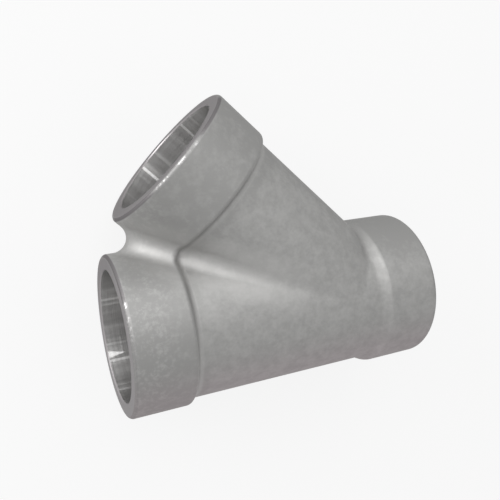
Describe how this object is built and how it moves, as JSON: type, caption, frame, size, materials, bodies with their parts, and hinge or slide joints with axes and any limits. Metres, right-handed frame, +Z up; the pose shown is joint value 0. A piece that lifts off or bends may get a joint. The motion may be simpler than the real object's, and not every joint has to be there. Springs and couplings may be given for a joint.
{
  "type": "socket lateral tee",
  "caption": "Cast stainless pipe fitting: a straight run with a slanting branch, each of its mouths a plain socket in a raised collar.",
  "frame": {"origin": "centre of the run's near mouth, the one that the branch leans over", "axes": "+X along the run to its far mouth, the branch leans back from the run on the +Y side, +Z up out of the plane of the two axes, so the fitting lies on its side"},
  "size_m": [0.0858, 0.0796, 0.042],
  "materials": {
    "cast_stainless": "blasted casting with machined mouths and sockets"
  },
  "bodies": {
    "root": {"tee_body": "cast_stainless"}
  },
  "joints": []
}
